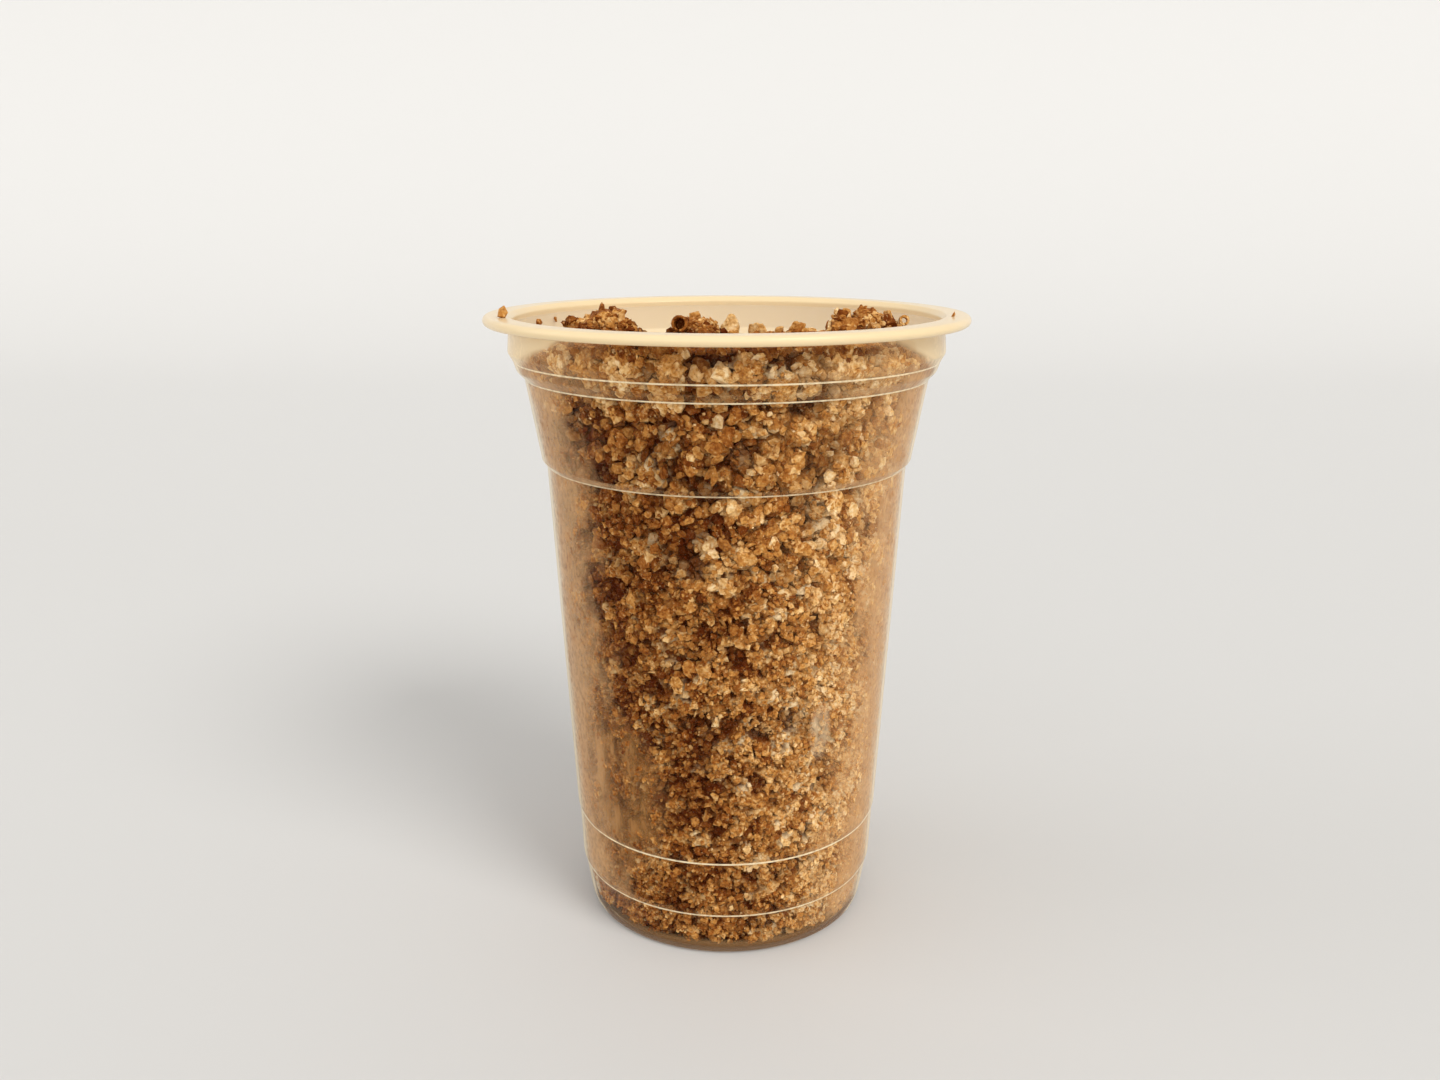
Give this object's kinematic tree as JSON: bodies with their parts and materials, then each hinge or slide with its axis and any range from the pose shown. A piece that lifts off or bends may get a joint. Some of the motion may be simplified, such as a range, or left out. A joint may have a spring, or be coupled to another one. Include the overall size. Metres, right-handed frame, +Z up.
{
  "type": "date bread dessert cup",
  "caption": "Clear stepped drinking cup with a wide flat lip, heaped to the brim with a coarse brown date bread crumble.",
  "frame": {"origin": "centre of the foot ring, on the surface the cup stands on", "axes": "+Z up along the cup's axis from the foot to the mouth; -Y towards the front, where the crumble stands highest; +X to the right of the front"},
  "size_m": [0.095, 0.095, 0.1279],
  "materials": {
    "clear_plastic": "thin clear polypropylene, smooth and glossy on the wall, milky cream at the flange and lip",
    "date_bread": "crumbled brown date bread, tan and golden grains with dark moist gaps between the lumps"
  },
  "bodies": {
    "root": {"cup": "clear_plastic", "date_bread_crumble": "date_bread"}
  },
  "joints": []
}
